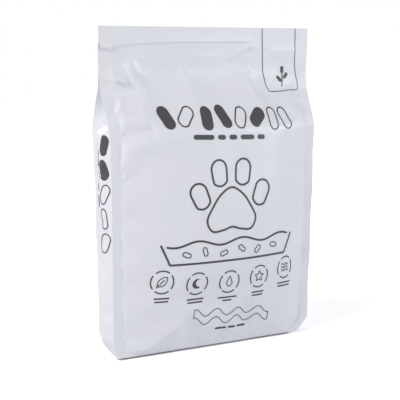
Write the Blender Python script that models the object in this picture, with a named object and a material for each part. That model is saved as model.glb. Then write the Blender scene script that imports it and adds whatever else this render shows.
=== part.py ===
# A full bag of cat litter, standing on its base: one sealed pack of coated film.
# The skin is a loft. Its section is a rounded box with a heat-sealed fin at each corner.
# Towards the top the two panels lean together, the side gussets tuck in between them,
# and all the layers end in one flat top seal.
# Metres, +Z up. The origin is on the floor under the middle of the bag.
# The front faces -Y and the side panels face -X and +X.

import math

import bmesh
import bpy

# Sizes of the whole bag, standing full
BAG_HEIGHT = 0.420
BODY_WIDTH = 0.297  # between the corner folds, where the bag is widest
BASE_WIDTH = 0.2855  # between the corner folds, on the floor
WAIST_WIDTH = 0.303  # between the corner folds, at the mouth of the gusset
HEADER_WIDTH = 0.322  # the top seal, laid flat
SIDE_DEPTH = 0.054  # from the front corner fold to the back one
BASE_SHIFT = 0.002  # the base stands this far to the left of the header

# How far the litter pushes a panel out, in its middle
BASE_BULGE = 0.0145
PANEL_BULGE = 0.030
SHOULDER_BULGE = 0.0235
APEX_BULGE = 0.0145
SIDE_BULGE = 0.009
PANEL_FULLNESS = 2.4  # 2 is an even arch, more is flatter in the middle

# Film and seals
CORNER_SEAL_WIDTH = 0.008
FRONT_SEAL_WIDTH = 0.012  # the front corner seals are wider below the shoulder
FRONT_LEFT_INSET = 0.002  # the front panel is this much narrower than the back at each end
FRONT_RIGHT_INSET = 0.004
CORNER_SEAL_THICKNESS = 0.0008
BACK_SEAL_BASE_TURN = 112.0  # degrees that a back corner seal is bent round behind the bag
BACK_SEAL_SHOULDER_TURN = 64.0
HEADER_THICKNESS = 0.0014  # four layers of film, pressed together
HEADER_NOTCH = 0.0004  # what still shows of the corner seals at the ends of the header
HEADER_WAVE = 0.0012  # the header isn't quite flat
BASE_SEAL_HEIGHT = 0.004  # the lip that the bag stands on
BASE_SEAL_LIP = 0.0008

# Heights measured up from the floor
BASE_ROUNDING = 0.045  # the bulge starts inside this height
BELLY_HEIGHT = 0.145  # the fullest part

# Heights measured down from the top edge
HEADER_HEIGHT = 0.020  # the flat top seal
ZIP_DROP = 0.036  # the press-to-close strip behind the film
NECK_DROP = 0.053  # where the panels meet and turn upright
MOUTH_DROP = 0.076  # where the side gusset closes
APEX_DROP = 0.100  # the tip of the gusset's triangle
SHOULDER_DROP = 0.135  # the litter reaches up to here

# The press-to-close strip shows as a low ridge
ZIP_HEIGHT = 0.006
ZIP_RELIEF = 0.0005

# The gusset above the shoulder
GUSSET_TUCK = 0.031  # how far its middle fold lies inside the edges
GUSSET_GAP = 0.0007  # what stays open between its two layers under the header
MOUTH_GAP = 0.0060  # how far apart the two corner folds are at the mouth

# Bottom corners: how far each is cut back along the floor, and how high the cut runs
FRONT_LEFT_CUT = 0.001
FRONT_RIGHT_CUT = 0.020
BACK_RIGHT_CUT = 0.012
BACK_LEFT_CUT = 0.010
CORNER_CUT_HEIGHT = 0.021

# Folds in the two panels: how far a ridge stands out or a hollow goes in, and how far
# each reaches to either side of its line
SHOULDER_FOLD_RISE = 0.0040
SHOULDER_HOLLOW = 0.0036
NECK_FOLD_RISE = 0.0030
FOOT_FOLD_RISE = 0.0026
SLACK_FOLD_RISE = 0.0011
SLACK_HOLLOW = 0.0010
FOLD_REACH = 0.010
SOFT_REACH = 0.016

# How finely the skin is divided
PANEL_STEPS = 36
SIDE_STEPS = 10
ROW_STEP = 0.0105

# Heights of the bag's stations, all from the floor
SHOULDER = BAG_HEIGHT - SHOULDER_DROP
APEX = BAG_HEIGHT - APEX_DROP
MOUTH = BAG_HEIGHT - MOUTH_DROP
NECK = BAG_HEIGHT - NECK_DROP
ZIP = BAG_HEIGHT - ZIP_DROP
HEADER = BAG_HEIGHT - HEADER_HEIGHT
SEALED = HEADER + BASE_SEAL_LIP
FIN_POINTS = 3


def smooth(share):
    share = min(1.0, max(0.0, share))
    return share * share * (3.0 - 2.0 * share)


def between(stations, height):
    # Follows (height, value) stations with straight stretches.
    if height <= stations[0][0]:
        return stations[0][1]
    for (low, first), (high, last) in zip(stations, stations[1:]):
        if height <= high:
            return first + (last - first) * (height - low) / (high - low)
    return stations[-1][1]


def flow(stations, height):
    # Follows the same kind of list with one soft curve that never swings past a station.
    if height <= stations[0][0]:
        return stations[0][1]
    if height >= stations[-1][0]:
        return stations[-1][1]
    gaps = [after[0] - before[0] for before, after in zip(stations, stations[1:])]
    rises = [(after[1] - before[1]) / gap for before, after, gap in zip(stations, stations[1:], gaps)]
    slopes = [rises[0]]
    for before, after in zip(rises, rises[1:]):
        slopes.append(0.0 if before * after <= 0.0 else 2.0 * before * after / (before + after))
    slopes.append(rises[-1])
    index = max(place for place, station in enumerate(stations) if station[0] <= height)
    gap = gaps[index]
    share = (height - stations[index][0]) / gap
    ease = smooth(share)
    start = stations[index][1] * (1.0 - ease) + slopes[index] * gap * share * (1.0 - share) ** 2
    end = stations[index + 1][1] * ease - slopes[index + 1] * gap * share * share * (1.0 - share)
    return start + end


def half_width(height, inset):
    # From the middle to a corner fold. It widens to the header's own edge.
    flat_half = HEADER_WIDTH / 2 - CORNER_SEAL_WIDTH
    if height > HEADER:
        return between([(HEADER, flat_half - inset), (SEALED, HEADER_WIDTH / 2 - HEADER_NOTCH)], height)
    stations = [
        (0.0, BASE_WIDTH / 2),
        (BELLY_HEIGHT, (BASE_WIDTH + BODY_WIDTH) / 4),
        (SHOULDER, BODY_WIDTH / 2),
        (MOUTH, WAIST_WIDTH / 2),
        (HEADER, flat_half),
    ]
    return flow(stations, height) - inset


def seal_width(height, side, inset):
    wide = FRONT_SEAL_WIDTH if side < 0 else CORNER_SEAL_WIDTH
    return between([(SHOULDER, wide), (HEADER, CORNER_SEAL_WIDTH + inset), (SEALED, HEADER_NOTCH)], height)


def seal_thickness(height):
    # In the header each seal takes its share of the whole thickness, with a hair between.
    layer = (HEADER_THICKNESS - GUSSET_GAP) / 2
    return between([(APEX, CORNER_SEAL_THICKNESS), (NECK, layer)], height)


def corner_depth(height):
    # From the middle plane to the corner fold of either panel.
    stations = [
        (0.0, SIDE_DEPTH / 2),
        (SHOULDER, SIDE_DEPTH / 2),
        (APEX, SIDE_DEPTH / 4),
        (MOUTH, MOUTH_GAP / 2),
        (NECK, HEADER_THICKNESS / 2),
    ]
    return flow(stations, height)


def panel_bulge(height):
    stations = [
        (0.0, 0.0),
        (BASE_ROUNDING, BASE_BULGE),
        (BELLY_HEIGHT, PANEL_BULGE),
        (SHOULDER, SHOULDER_BULGE),
        (APEX, APEX_BULGE),
        (NECK, 0.0),
    ]
    return flow(stations, height)


def side_offset(share, height):
    # Outwards from the straight line between the two corner folds. share is -1 at the
    # front fold and 1 at the back one. Above the shoulder the gusset tucks in: a flat
    # triangle narrows to its tip at the apex, and one deep fold runs on from there.
    out = flow([(0.0, SIDE_BULGE * 0.35), (BASE_ROUNDING, SIDE_BULGE * 0.8), (SHOULDER, SIDE_BULGE), (APEX, 0.0)], height)
    tuck = between(
        [
            (SHOULDER, 0.0),
            (APEX, GUSSET_TUCK * 0.9),
            (MOUTH, GUSSET_TUCK),
            (HEADER, GUSSET_TUCK),
            (SEALED, -HEADER_NOTCH),
        ],
        height,
    )
    flat = between([(SHOULDER, 0.9), (APEX, 0.0)], height)
    fold = min(1.0, (1.0 - abs(share)) / (1.0 - flat))
    return out * (1.0 - share * share) - tuck * fold


def corner_cut(cut, height):
    return cut * max(0.0, 1.0 - height / CORNER_CUT_HEIGHT) ** 1.2


def fold(x, height, start, end, rise, reach):
    # A ridge along a straight line, or a hollow where the rise is below nothing. It is
    # highest in its middle and has soft shoulders.
    run_x, run_z = end[0] - start[0], end[1] - start[1]
    length = math.hypot(run_x, run_z)
    along = ((x - start[0]) * run_x + (height - start[1]) * run_z) / length
    across = ((x - start[0]) * run_z - (height - start[1]) * run_x) / length
    share = along / length
    if not 0.0 < share < 1.0:
        return 0.0
    return rise * math.sin(math.pi * share) ** 0.7 * math.exp(-((across / reach) ** 2))


def front_relief(x, height):
    # What the folds add to the front: the fill line at the left shoulder with its pocket,
    # the crumple under the neck, slack pleats down from the neck, and the bottom corners.
    left, right = -BODY_WIDTH / 2, BODY_WIDTH / 2
    lines = (
        ((left - 0.030, SHOULDER - 0.007), (left + 0.100, SHOULDER + 0.008), SHOULDER_FOLD_RISE, FOLD_REACH),
        ((left - 0.020, SHOULDER + 0.006), (left + 0.085, SHOULDER + 0.018), -SHOULDER_HOLLOW, FOLD_REACH),
        ((left + 0.022, NECK + 0.007), (left + 0.054, APEX + 0.016), NECK_FOLD_RISE, FOLD_REACH),
        ((left - 0.020, MOUTH + 0.011), (left + 0.034, MOUTH + 0.006), NECK_FOLD_RISE, FOLD_REACH),
        ((left + 0.058, APEX + 0.024), (left + 0.030, SHOULDER + 0.012), SLACK_FOLD_RISE, FOLD_REACH),
        ((left + 0.112, NECK + 0.004), (left + 0.112, SHOULDER + 0.024), SLACK_FOLD_RISE, SOFT_REACH),
        ((left + 0.160, MOUTH + 0.014), (left + 0.156, SHOULDER + 0.018), -SLACK_HOLLOW, SOFT_REACH),
        ((right - 0.094, NECK), (right - 0.078, SHOULDER + 0.014), SLACK_FOLD_RISE, SOFT_REACH),
        ((right - 0.050, MOUTH), (right - 0.044, SHOULDER + 0.010), -SLACK_HOLLOW, SOFT_REACH),
        ((left + 0.004, -0.010), (left + 0.118, 0.052), FOOT_FOLD_RISE, SOFT_REACH),
        ((right - 0.014, -0.010), (right - 0.110, 0.048), FOOT_FOLD_RISE, SOFT_REACH),
    )
    return sum(fold(x, height, *line) for line in lines)


def back_relief(x, height):
    # The back has the same kind of folds, in other places.
    left, right = -BODY_WIDTH / 2, BODY_WIDTH / 2
    lines = (
        ((right + 0.030, SHOULDER - 0.006), (right - 0.095, SHOULDER + 0.009), SHOULDER_FOLD_RISE, FOLD_REACH),
        ((right + 0.010, SHOULDER + 0.007), (right - 0.080, SHOULDER + 0.019), -SHOULDER_HOLLOW, FOLD_REACH),
        ((left - 0.020, SHOULDER + 0.008), (left + 0.062, SHOULDER - 0.004), SHOULDER_FOLD_RISE * 0.8, FOLD_REACH),
        ((right - 0.018, NECK + 0.004), (right - 0.058, APEX + 0.002), NECK_FOLD_RISE, FOLD_REACH),
        ((left + 0.032, MOUTH + 0.014), (left + 0.038, SHOULDER + 0.020), SLACK_FOLD_RISE, SOFT_REACH),
        ((left + 0.080, MOUTH + 0.010), (left + 0.084, SHOULDER + 0.014), -SLACK_HOLLOW, SOFT_REACH),
        ((left + 0.122, MOUTH + 0.020), (left + 0.124, SHOULDER + 0.012), SLACK_FOLD_RISE, SOFT_REACH),
        ((right - 0.102, MOUTH + 0.020), (right - 0.112, SHOULDER + 0.016), SLACK_FOLD_RISE, SOFT_REACH),
        ((left + 0.014, -0.010), (left + 0.104, 0.046), FOOT_FOLD_RISE, SOFT_REACH),
        ((right - 0.012, -0.010), (right - 0.116, 0.050), FOOT_FOLD_RISE, SOFT_REACH),
    )
    return sum(fold(x, height, *line) for line in lines)


def sway(x, height):
    # The flat top waves a little, and both panels wave together.
    return HEADER_WAVE * math.sin(2.0 * math.pi * x / (HEADER_WIDTH * 0.8)) * smooth((height - MOUTH) / MOUTH_DROP)


def panel_inset(side, hand):
    # How much the front panel's end lies inside the back panel's. hand is -1 at the left.
    if side > 0:
        return 0.0
    return FRONT_LEFT_INSET if hand < 0 else FRONT_RIGHT_INSET


def panel_points(side, height, left_cut, right_cut):
    # One panel from its left corner fold to its right one. side is -1 for the front.
    shift = -BASE_SHIFT * smooth(1.0 - height / SHOULDER)
    left = shift - half_width(height, panel_inset(side, -1)) + corner_cut(left_cut, height)
    right = shift + half_width(height, panel_inset(side, 1)) - corner_cut(right_cut, height)
    lip = BASE_SEAL_LIP * max(0.0, 1.0 - height / BASE_SEAL_HEIGHT)
    ridge = ZIP_RELIEF * max(0.0, 1.0 - abs(height - ZIP) / (ZIP_HEIGHT / 2))
    relief = front_relief if side < 0 else back_relief
    points = []
    for step in range(PANEL_STEPS + 1):
        across = -math.cos(math.pi * step / PANEL_STEPS) * 0.3 + (2.0 * step / PANEL_STEPS - 1.0) * 0.7
        x = (left + right) / 2 + (right - left) / 2 * across
        arch = 1.0 - abs(across) ** PANEL_FULLNESS
        bulge = panel_bulge(height) * arch
        added = relief(x, height) * smooth(height / CORNER_CUT_HEIGHT) * min(1.0, 5.0 * arch)
        if added < 0.0:
            added *= bulge / (bulge - added + 1e-9)
        out = corner_depth(height) + bulge + added + lip + ridge * min(1.0, 20.0 * arch)
        points.append((x, side * out, height))
    return points


def seal_points(corner, side, hand, height):
    # The fin at one corner: its two tip corners and its root on the inner side. hand is
    # -1 at the left. The back fins are bent round behind the bag below the gusset.
    x, y, _ = corner
    width, thick = seal_width(height, side, panel_inset(side, hand)), seal_thickness(height)
    turns = [(0.0, BACK_SEAL_BASE_TURN), (SHOULDER, BACK_SEAL_SHOULDER_TURN), (MOUTH, 0.0)]
    turn = math.radians(flow(turns, height)) if side > 0 else 0.0
    tip_x, tip_y = x + hand * width * math.cos(turn), y + side * width * math.sin(turn)
    in_x, in_y = hand * thick * math.sin(turn), -side * thick * math.cos(turn)
    return [(tip_x, tip_y, height), (tip_x + in_x, tip_y + in_y, height), (x + in_x, y + in_y, height)]


def side_points(start, end, hand, height):
    # A side panel between its two fins, without its end points.
    points = []
    for step in range(1, SIDE_STEPS):
        blend = step / SIDE_STEPS
        x = start[0] + (end[0] - start[0]) * blend
        y = start[1] + (end[1] - start[1]) * blend
        points.append((x + hand * side_offset(2.0 * blend - 1.0, height), y, height))
    return points


def section(height):
    # The whole outline at one height, anticlockwise seen from above.
    front = panel_points(-1, height, FRONT_LEFT_CUT, FRONT_RIGHT_CUT)
    back = panel_points(1, height, BACK_LEFT_CUT, BACK_RIGHT_CUT)[::-1]
    front_right = seal_points(front[-1], -1, 1, height)
    back_right = seal_points(back[0], 1, 1, height)[::-1]
    back_left = seal_points(back[-1], 1, -1, height)
    front_left = seal_points(front[0], -1, -1, height)[::-1]
    right = side_points(front_right[-1], back_right[0], 1, height)
    left = side_points(back_left[-1], front_left[0], -1, height)
    ring = front + front_right + right + back_right + back + back_left + left + front_left
    return [(x, y + sway(x, height), z) for x, y, z in ring]


def row_heights():
    # Levels of the sections: one at each station, and even steps between them.
    stations = [
        0.0,
        BASE_SEAL_HEIGHT,
        CORNER_CUT_HEIGHT,
        BASE_ROUNDING,
        BELLY_HEIGHT,
        SHOULDER,
        APEX,
        MOUTH,
        NECK,
        ZIP - ZIP_HEIGHT / 2,
        ZIP,
        ZIP + ZIP_HEIGHT / 2,
        HEADER,
        SEALED,
        BAG_HEIGHT,
    ]
    heights = [stations[0]]
    for low, high in zip(stations, stations[1:]):
        steps = max(1, round((high - low) / ROW_STEP))
        heights += [low + (high - low) * (step + 1) / steps for step in range(steps)]
    return heights


def cap(mesh, ring, upwards):
    # Closes one end with strips from the front panel to the back one, a face for each
    # side, and a small one for each fin.
    last = PANEL_STEPS
    back_start = last + 2 * FIN_POINTS + SIDE_STEPS
    ring = ring + [ring[0]]
    faces = []
    for step in range(last):
        mirror = back_start + last - step
        faces.append([ring[step], ring[step + 1], ring[mirror - 1], ring[mirror]])
    for low, high in ((last, back_start), (back_start + last, len(ring) - 1)):
        faces.append(ring[low : low + FIN_POINTS + 1])
        faces.append([ring[low]] + ring[low + FIN_POINTS : high - FIN_POINTS + 1] + [ring[high]])
        faces.append(ring[high - FIN_POINTS : high + 1])
    for face in faces:
        mesh.faces.new(face if upwards else face[::-1])


def turned_faces():
    # The steps round the ring whose faces are cut along the other diagonal, so that both
    # sides of a fin are cut alike: the third face of each fin, and half of each gusset.
    panel, side = PANEL_STEPS, SIDE_STEPS + 2 * FIN_POINTS
    turned = set()
    for start in (panel, 2 * panel + side):
        turned |= {start + FIN_POINTS - 1, start + side - 1}
        middle = start + FIN_POINTS + SIDE_STEPS // 2
        turned |= set(range(middle, middle + SIDE_STEPS // 2))
    return turned


def build_bag():
    mesh = bmesh.new()
    rings = [[mesh.verts.new(point) for point in section(height)] for height in row_heights()]
    count = len(rings[0])
    turned = turned_faces()
    for lower, upper in zip(rings, rings[1:]):
        for step in range(count):
            after = (step + 1) % count
            if step in turned:
                mesh.faces.new([lower[step], lower[after], upper[step]])
                mesh.faces.new([lower[after], upper[after], upper[step]])
            else:
                mesh.faces.new([lower[step], lower[after], upper[after]])
                mesh.faces.new([lower[step], upper[after], upper[step]])
    cap(mesh, rings[0], upwards=False)
    cap(mesh, rings[-1], upwards=True)
    data = bpy.data.meshes.new("litter_bag")
    mesh.to_mesh(data)
    mesh.free()
    return data


def film_material():
    # White coated film with a dull sheen.
    material = bpy.data.materials.new("coated_white_film")
    material.use_nodes = True
    shader = material.node_tree.nodes["Principled BSDF"]
    shader.inputs["Base Color"].default_value = (0.71, 0.73, 0.79, 1.0)
    shader.inputs["Roughness"].default_value = 0.45
    shader.inputs["Metallic"].default_value = 0.0
    return material


def main():
    for old in list(bpy.data.objects):
        bpy.data.objects.remove(old)
    collection = bpy.data.collections.new("cat_litter_bag")
    bpy.context.scene.collection.children.link(collection)
    bag = bpy.data.objects.new("litter_bag", build_bag())
    bag.data.materials.append(film_material())
    bag.data.shade_smooth()
    bag.data.set_sharp_from_angle(angle=math.radians(35))
    collection.objects.link(bag)


main()
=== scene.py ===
# A full film bag of cat litter in a white studio.
# The bag is lofted row by row from its own sizes, its folds are laid on the film one by one,
# the film then settles a little as cloth, and the print is thin ink that follows it.
import math
import bmesh
import bpy
import numpy as np
from mathutils import Matrix, Vector, noise

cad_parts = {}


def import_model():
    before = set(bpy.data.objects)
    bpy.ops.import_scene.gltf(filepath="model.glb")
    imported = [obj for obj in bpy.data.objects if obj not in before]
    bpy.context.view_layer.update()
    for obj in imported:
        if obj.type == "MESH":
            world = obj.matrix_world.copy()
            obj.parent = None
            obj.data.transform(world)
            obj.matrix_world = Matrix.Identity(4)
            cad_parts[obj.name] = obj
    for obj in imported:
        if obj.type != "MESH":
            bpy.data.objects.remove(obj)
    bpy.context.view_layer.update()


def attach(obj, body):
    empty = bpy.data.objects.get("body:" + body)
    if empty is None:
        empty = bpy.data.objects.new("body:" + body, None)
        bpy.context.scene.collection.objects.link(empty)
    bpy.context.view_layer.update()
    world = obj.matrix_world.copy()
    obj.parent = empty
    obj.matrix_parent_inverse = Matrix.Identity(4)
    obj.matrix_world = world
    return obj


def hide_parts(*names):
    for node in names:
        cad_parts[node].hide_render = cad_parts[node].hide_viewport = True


bag = {
    "height": 0.420,
    "bodyWidth": 0.297,
    "baseWidth": 0.2855,
    "waistWidth": 0.303,
    "headerWidth": 0.322,
    "sideDepth": 0.054,
    "baseShift": 0.002,
    "baseBulge": 0.0145,
    "panelBulge": 0.030,
    "shoulderBulge": 0.0235,
    "apexBulge": 0.0145,
    "sideBulge": 0.009,
    "fullness": 2.4,  # how square the panels bulge from edge to edge
    "edgeShare": 0.28,  # how much closer the columns stand near the edges
    "finWidth": 0.008,
    "seamWidth": 0.012,
    "seamInsets": {"left": 0.002, "right": 0.004},
    "seamTurn": 5.0,
    "seamTrim": 0.0055,
    "seamTrimHeight": 0.009,
    "seamDip": 0.0028,
    "seamDepth": 0.0011,
    "finThickness": 0.0008,
    "finTurnBase": 112.0,
    "finTurnShoulder": 64.0,
    "finFlutter": 9.0,
    "headerThickness": 0.0014,
    "headerNotch": 0.0004,
    "headerWave": 0.0012,
    "cornerLean": 0.0030,
    "cornerStart": 0.124,
    "cornerReach": 0.037,
    "foldHeight": 0.380,  # where the header's own creases start
    "lipHeight": 0.002,
    "lip": 0.0008,
    "undercut": 0.007,
    "rounding": 0.045,
    "belly": 0.145,
    "footHeight": 0.012,
    "headerHeight": 0.020,
    "zipDrop": 0.0390,
    "zipHeight": 0.014,
    "zipRelief": 0.0004,
    "neckDrop": 0.053,
    "mouthDrop": 0.076,
    "apexDrop": 0.100,
    "shoulderDrop": 0.135,
    "gussetTuck": 0.031,
    "gussetGap": 0.0007,
    "gussetRoom": 0.2,  # the share of the gusset's depth that a hollow may take
    "mouthGap": 0.0060,
    "cutHeight": 0.021,
    "cuts": {"frontLeft": 0.0015, "frontRight": 0.020, "backLeft": 0.010, "backRight": 0.012},
    "fine": {"columns": 150, "sides": 20, "rowStep": 0.00175},
    "coarse": {"columns": 64, "sides": 12, "rowStep": 0.0052},
}
shoulder = bag["height"] - bag["shoulderDrop"]
apex = bag["height"] - bag["apexDrop"]
mouth = bag["height"] - bag["mouthDrop"]
neck = bag["height"] - bag["neckDrop"]
zipLine = bag["height"] - bag["zipDrop"]
header = bag["height"] - bag["headerHeight"]
sealed = header + bag["lip"]

# how the film settles when it is let go a little too large for its fill
settling = {
    "frames": 24,
    "quality": 6,
    "mass": 0.25,
    "spare": 0.014,
    "bodyShare": 0.24,
    "pulled": 0.7,
    "pressure": 0.6,
    "bending": 25.0,
    "stretch": 60.0,
    "hold": 0.12,
    "broadRows": 5,
    "broadColumns": 5,
    "most": 0.0065,
    "apart": 0.0003,
}

# what lies under the named folds: the size of each kind of lump and how far it stands out
texture = {
    "lump": 0.060,
    "lumpRise": 0.0007,
    "crumple": 0.024,
    "crumpleRise": 0.0004,
    "crack": 0.034,
    "crackPatch": 0.05,
    "crackDepth": 0.0006,
    "crackWidth": 0.09,
    "sideLump": 0.030,
}


def smooth(share):
    share = np.clip(share, 0.0, 1.0)
    return share * share * (3.0 - 2.0 * share)


def between(stations, heights):
    return np.interp(heights, [s[0] for s in stations], [s[1] for s in stations])


def flow(stations, heights):
    # one soft curve through (height, value) stations that never swings past one
    x = np.array([s[0] for s in stations])
    y = np.array([s[1] for s in stations])
    gap = np.diff(x)
    rise = np.diff(y) / gap
    slope = np.zeros(len(x))
    slope[0], slope[-1] = rise[0], rise[-1]
    before, after = rise[:-1], rise[1:]
    same = before * after > 0.0
    slope[1:-1][same] = 2.0 * before[same] * after[same] / (before[same] + after[same])
    h = np.clip(heights, x[0], x[-1])
    i = np.clip(np.searchsorted(x, h, side="right") - 1, 0, len(gap) - 1)
    t = (h - x[i]) / gap[i]
    ease = smooth(t)
    start = y[i] * (1.0 - ease) + slope[i] * gap[i] * t * (1.0 - t) ** 2
    end = y[i + 1] * ease - slope[i + 1] * gap[i] * t * t * (1.0 - t)
    return start + end


def catmullRom(a, b, c, d, t):
    bend = (2 * a - 5 * b + 4 * c - d) * t * t
    return 0.5 * (2 * b + (c - a) * t + bend + (3 * b - a - 3 * c + d) * t ** 3)


def cloudNoise(x, z, size, seed):
    # soft lumps of about one size, from -1 to 1
    spots = zip(x.ravel(), z.ravel())
    lumps = [noise.noise(Vector((a / size + seed * 7.3, seed * 3.1, b / size))) for a, b in spots]
    return np.array(lumps).reshape(x.shape)


def crackNoise(x, z, size, seed):
    # 1 on the borders of cells of about one size, falling off quickly: a net of sharp creases
    found = []
    for a, b in zip(x.ravel(), z.ravel()):
        near = noise.voronoi(Vector((a / size + seed * 5.7, b / size, seed * 2.9)))[0]
        found.append(near[1] - near[0])
    return np.exp(-np.array(found).reshape(x.shape) / texture["crackWidth"])


def broadFold(x, z, start, end, rise, reach):
    # a soft ridge from start to end, or a hollow where its rise is below zero
    runX, runZ = end[0] - start[0], end[1] - start[1]
    length = math.hypot(runX, runZ)
    share = ((x - start[0]) * runX + (z - start[1]) * runZ) / length ** 2
    aside = ((x - start[0]) * runZ - (z - start[1]) * runX) / length
    crest = np.sin(np.pi * np.clip(share, 0.0, 1.0)) ** 0.7
    return rise * crest * np.exp(-((aside / reach) ** 2))


def fold(rise, left, right, *path, taper=0.3, crisp=0.6):
    # a crease along a path: how far its crest stands out, how far each side reaches, seen
    # along the path, the share of its length that fades in and out, and how sharp it is
    return dict(path=np.array(path), rise=rise, left=left, right=right, taper=taper, crisp=crisp)


def sharpFold(x, z, line):
    # what a crease adds at each point, by the nearest place on its path and the side of it
    path = line["path"]
    steps = np.diff(path, axis=0)
    lengths = np.hypot(steps[:, 0], steps[:, 1])
    before = np.concatenate([[0.0], np.cumsum(lengths)])
    best = np.full(x.shape, 9.0)
    along = np.zeros(x.shape)
    side = np.zeros(x.shape)
    for i, (dx, dz) in enumerate(steps):
        px, pz = x - path[i, 0], z - path[i, 1]
        t = np.clip((px * dx + pz * dz) / lengths[i] ** 2, 0.0, 1.0)
        away = np.hypot(px - t * dx, pz - t * dz)
        nearer = away < best
        best = np.where(nearer, away, best)
        along = np.where(nearer, before[i] + t * lengths[i], along)
        side = np.where(nearer, np.sign(dx * pz - dz * px), side)
    share = along / before[-1]
    fade = smooth(share / line["taper"]) * smooth((1.0 - share) / line["taper"])
    near = best / np.where(side > 0.0, line["left"], line["right"])
    crisp = line["crisp"]
    shape = crisp * np.exp(-near * 1.6) + (1.0 - crisp) * np.exp(-near * near * 1.3)
    return line["rise"] * fade * shape


# The broad folds of the two panels, as on the solid under them: two ends of a line as
# (x, height), how far it stands out, and how far it reaches to either side.
broadFolds = {
    "front": [
        ((-0.1785, 0.269), (-0.0485, 0.284), 0.0026, 0.016),
        ((-0.1685, 0.28), (-0.0635, 0.293), -0.003, 0.009),
        ((-0.1265, 0.374), (-0.0945, 0.336), 0.003, 0.01),
        ((-0.1685, 0.355), (-0.1145, 0.35), 0.003, 0.01),
        ((-0.0905, 0.344), (-0.1185, 0.297), 0.0011, 0.01),
        ((-0.0365, 0.371), (-0.0365, 0.309), 0.0011, 0.016),
        ((0.0115, 0.358), (0.0075, 0.303), -0.001, 0.016),
        ((0.0545, 0.367), (0.0705, 0.299), 0.0011, 0.016),
        ((0.0985, 0.344), (0.1045, 0.295), -0.001, 0.016),
        ((-0.1445, -0.01), (-0.0305, 0.052), 0.0018, 0.016),
        ((0.1345, -0.01), (0.0385, 0.048), 0.0018, 0.016),
    ],
    "back": [
        ((0.1785, 0.279), (0.0535, 0.294), 0.004, 0.01),
        ((0.1585, 0.292), (0.0685, 0.304), -0.0036, 0.01),
        ((-0.1685, 0.293), (-0.0865, 0.281), 0.0032, 0.01),
        ((0.1305, 0.371), (0.0905, 0.322), 0.003, 0.01),
        ((-0.1165, 0.358), (-0.1105, 0.305), 0.0011, 0.016),
        ((-0.0685, 0.354), (-0.0645, 0.299), -0.001, 0.016),
        ((-0.0265, 0.364), (-0.0245, 0.297), 0.0011, 0.016),
        ((0.0465, 0.364), (0.0365, 0.301), 0.0011, 0.016),
        ((-0.1345, -0.01), (-0.0445, 0.046), 0.0026, 0.016),
        ((0.1365, -0.01), (0.0325, 0.05), 0.0026, 0.016),
    ],
}

# Where the flat header was folded over once: its layers crease together.
headerFolds = {
    "front": [
        fold(0.0013, 0.009, 0.0011, (-0.175, 0.3885), (-0.1634, 0.3908), (-0.1528, 0.3927),
             (-0.1444, 0.3952), (-0.1304, 0.3965), (-0.1019, 0.3986), (-0.0729, 0.4),
             (-0.0357, 0.4008), (0.02, 0.4012), (0.08, 0.402), taper=0.1, crisp=0.5),
        fold(0.004, 0.0044, 0.0024, (-0.15, 0.389), (-0.1466, 0.3935), (-0.1444, 0.399),
             taper=0.4),
        fold(0.001, 0.004, 0.012, (-0.148, 0.3965), (-0.1425, 0.403), (-0.135, 0.411),
             (-0.127, 0.42), crisp=0.4),
    ],
    "back": [
        fold(0.0012, 0.0011, 0.009, (0.175, 0.389), (0.1528, 0.3935), (0.1304, 0.3968),
             (0.09, 0.3992), (0.03, 0.4004), (-0.05, 0.401), taper=0.1, crisp=0.5),
    ],
}

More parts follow.
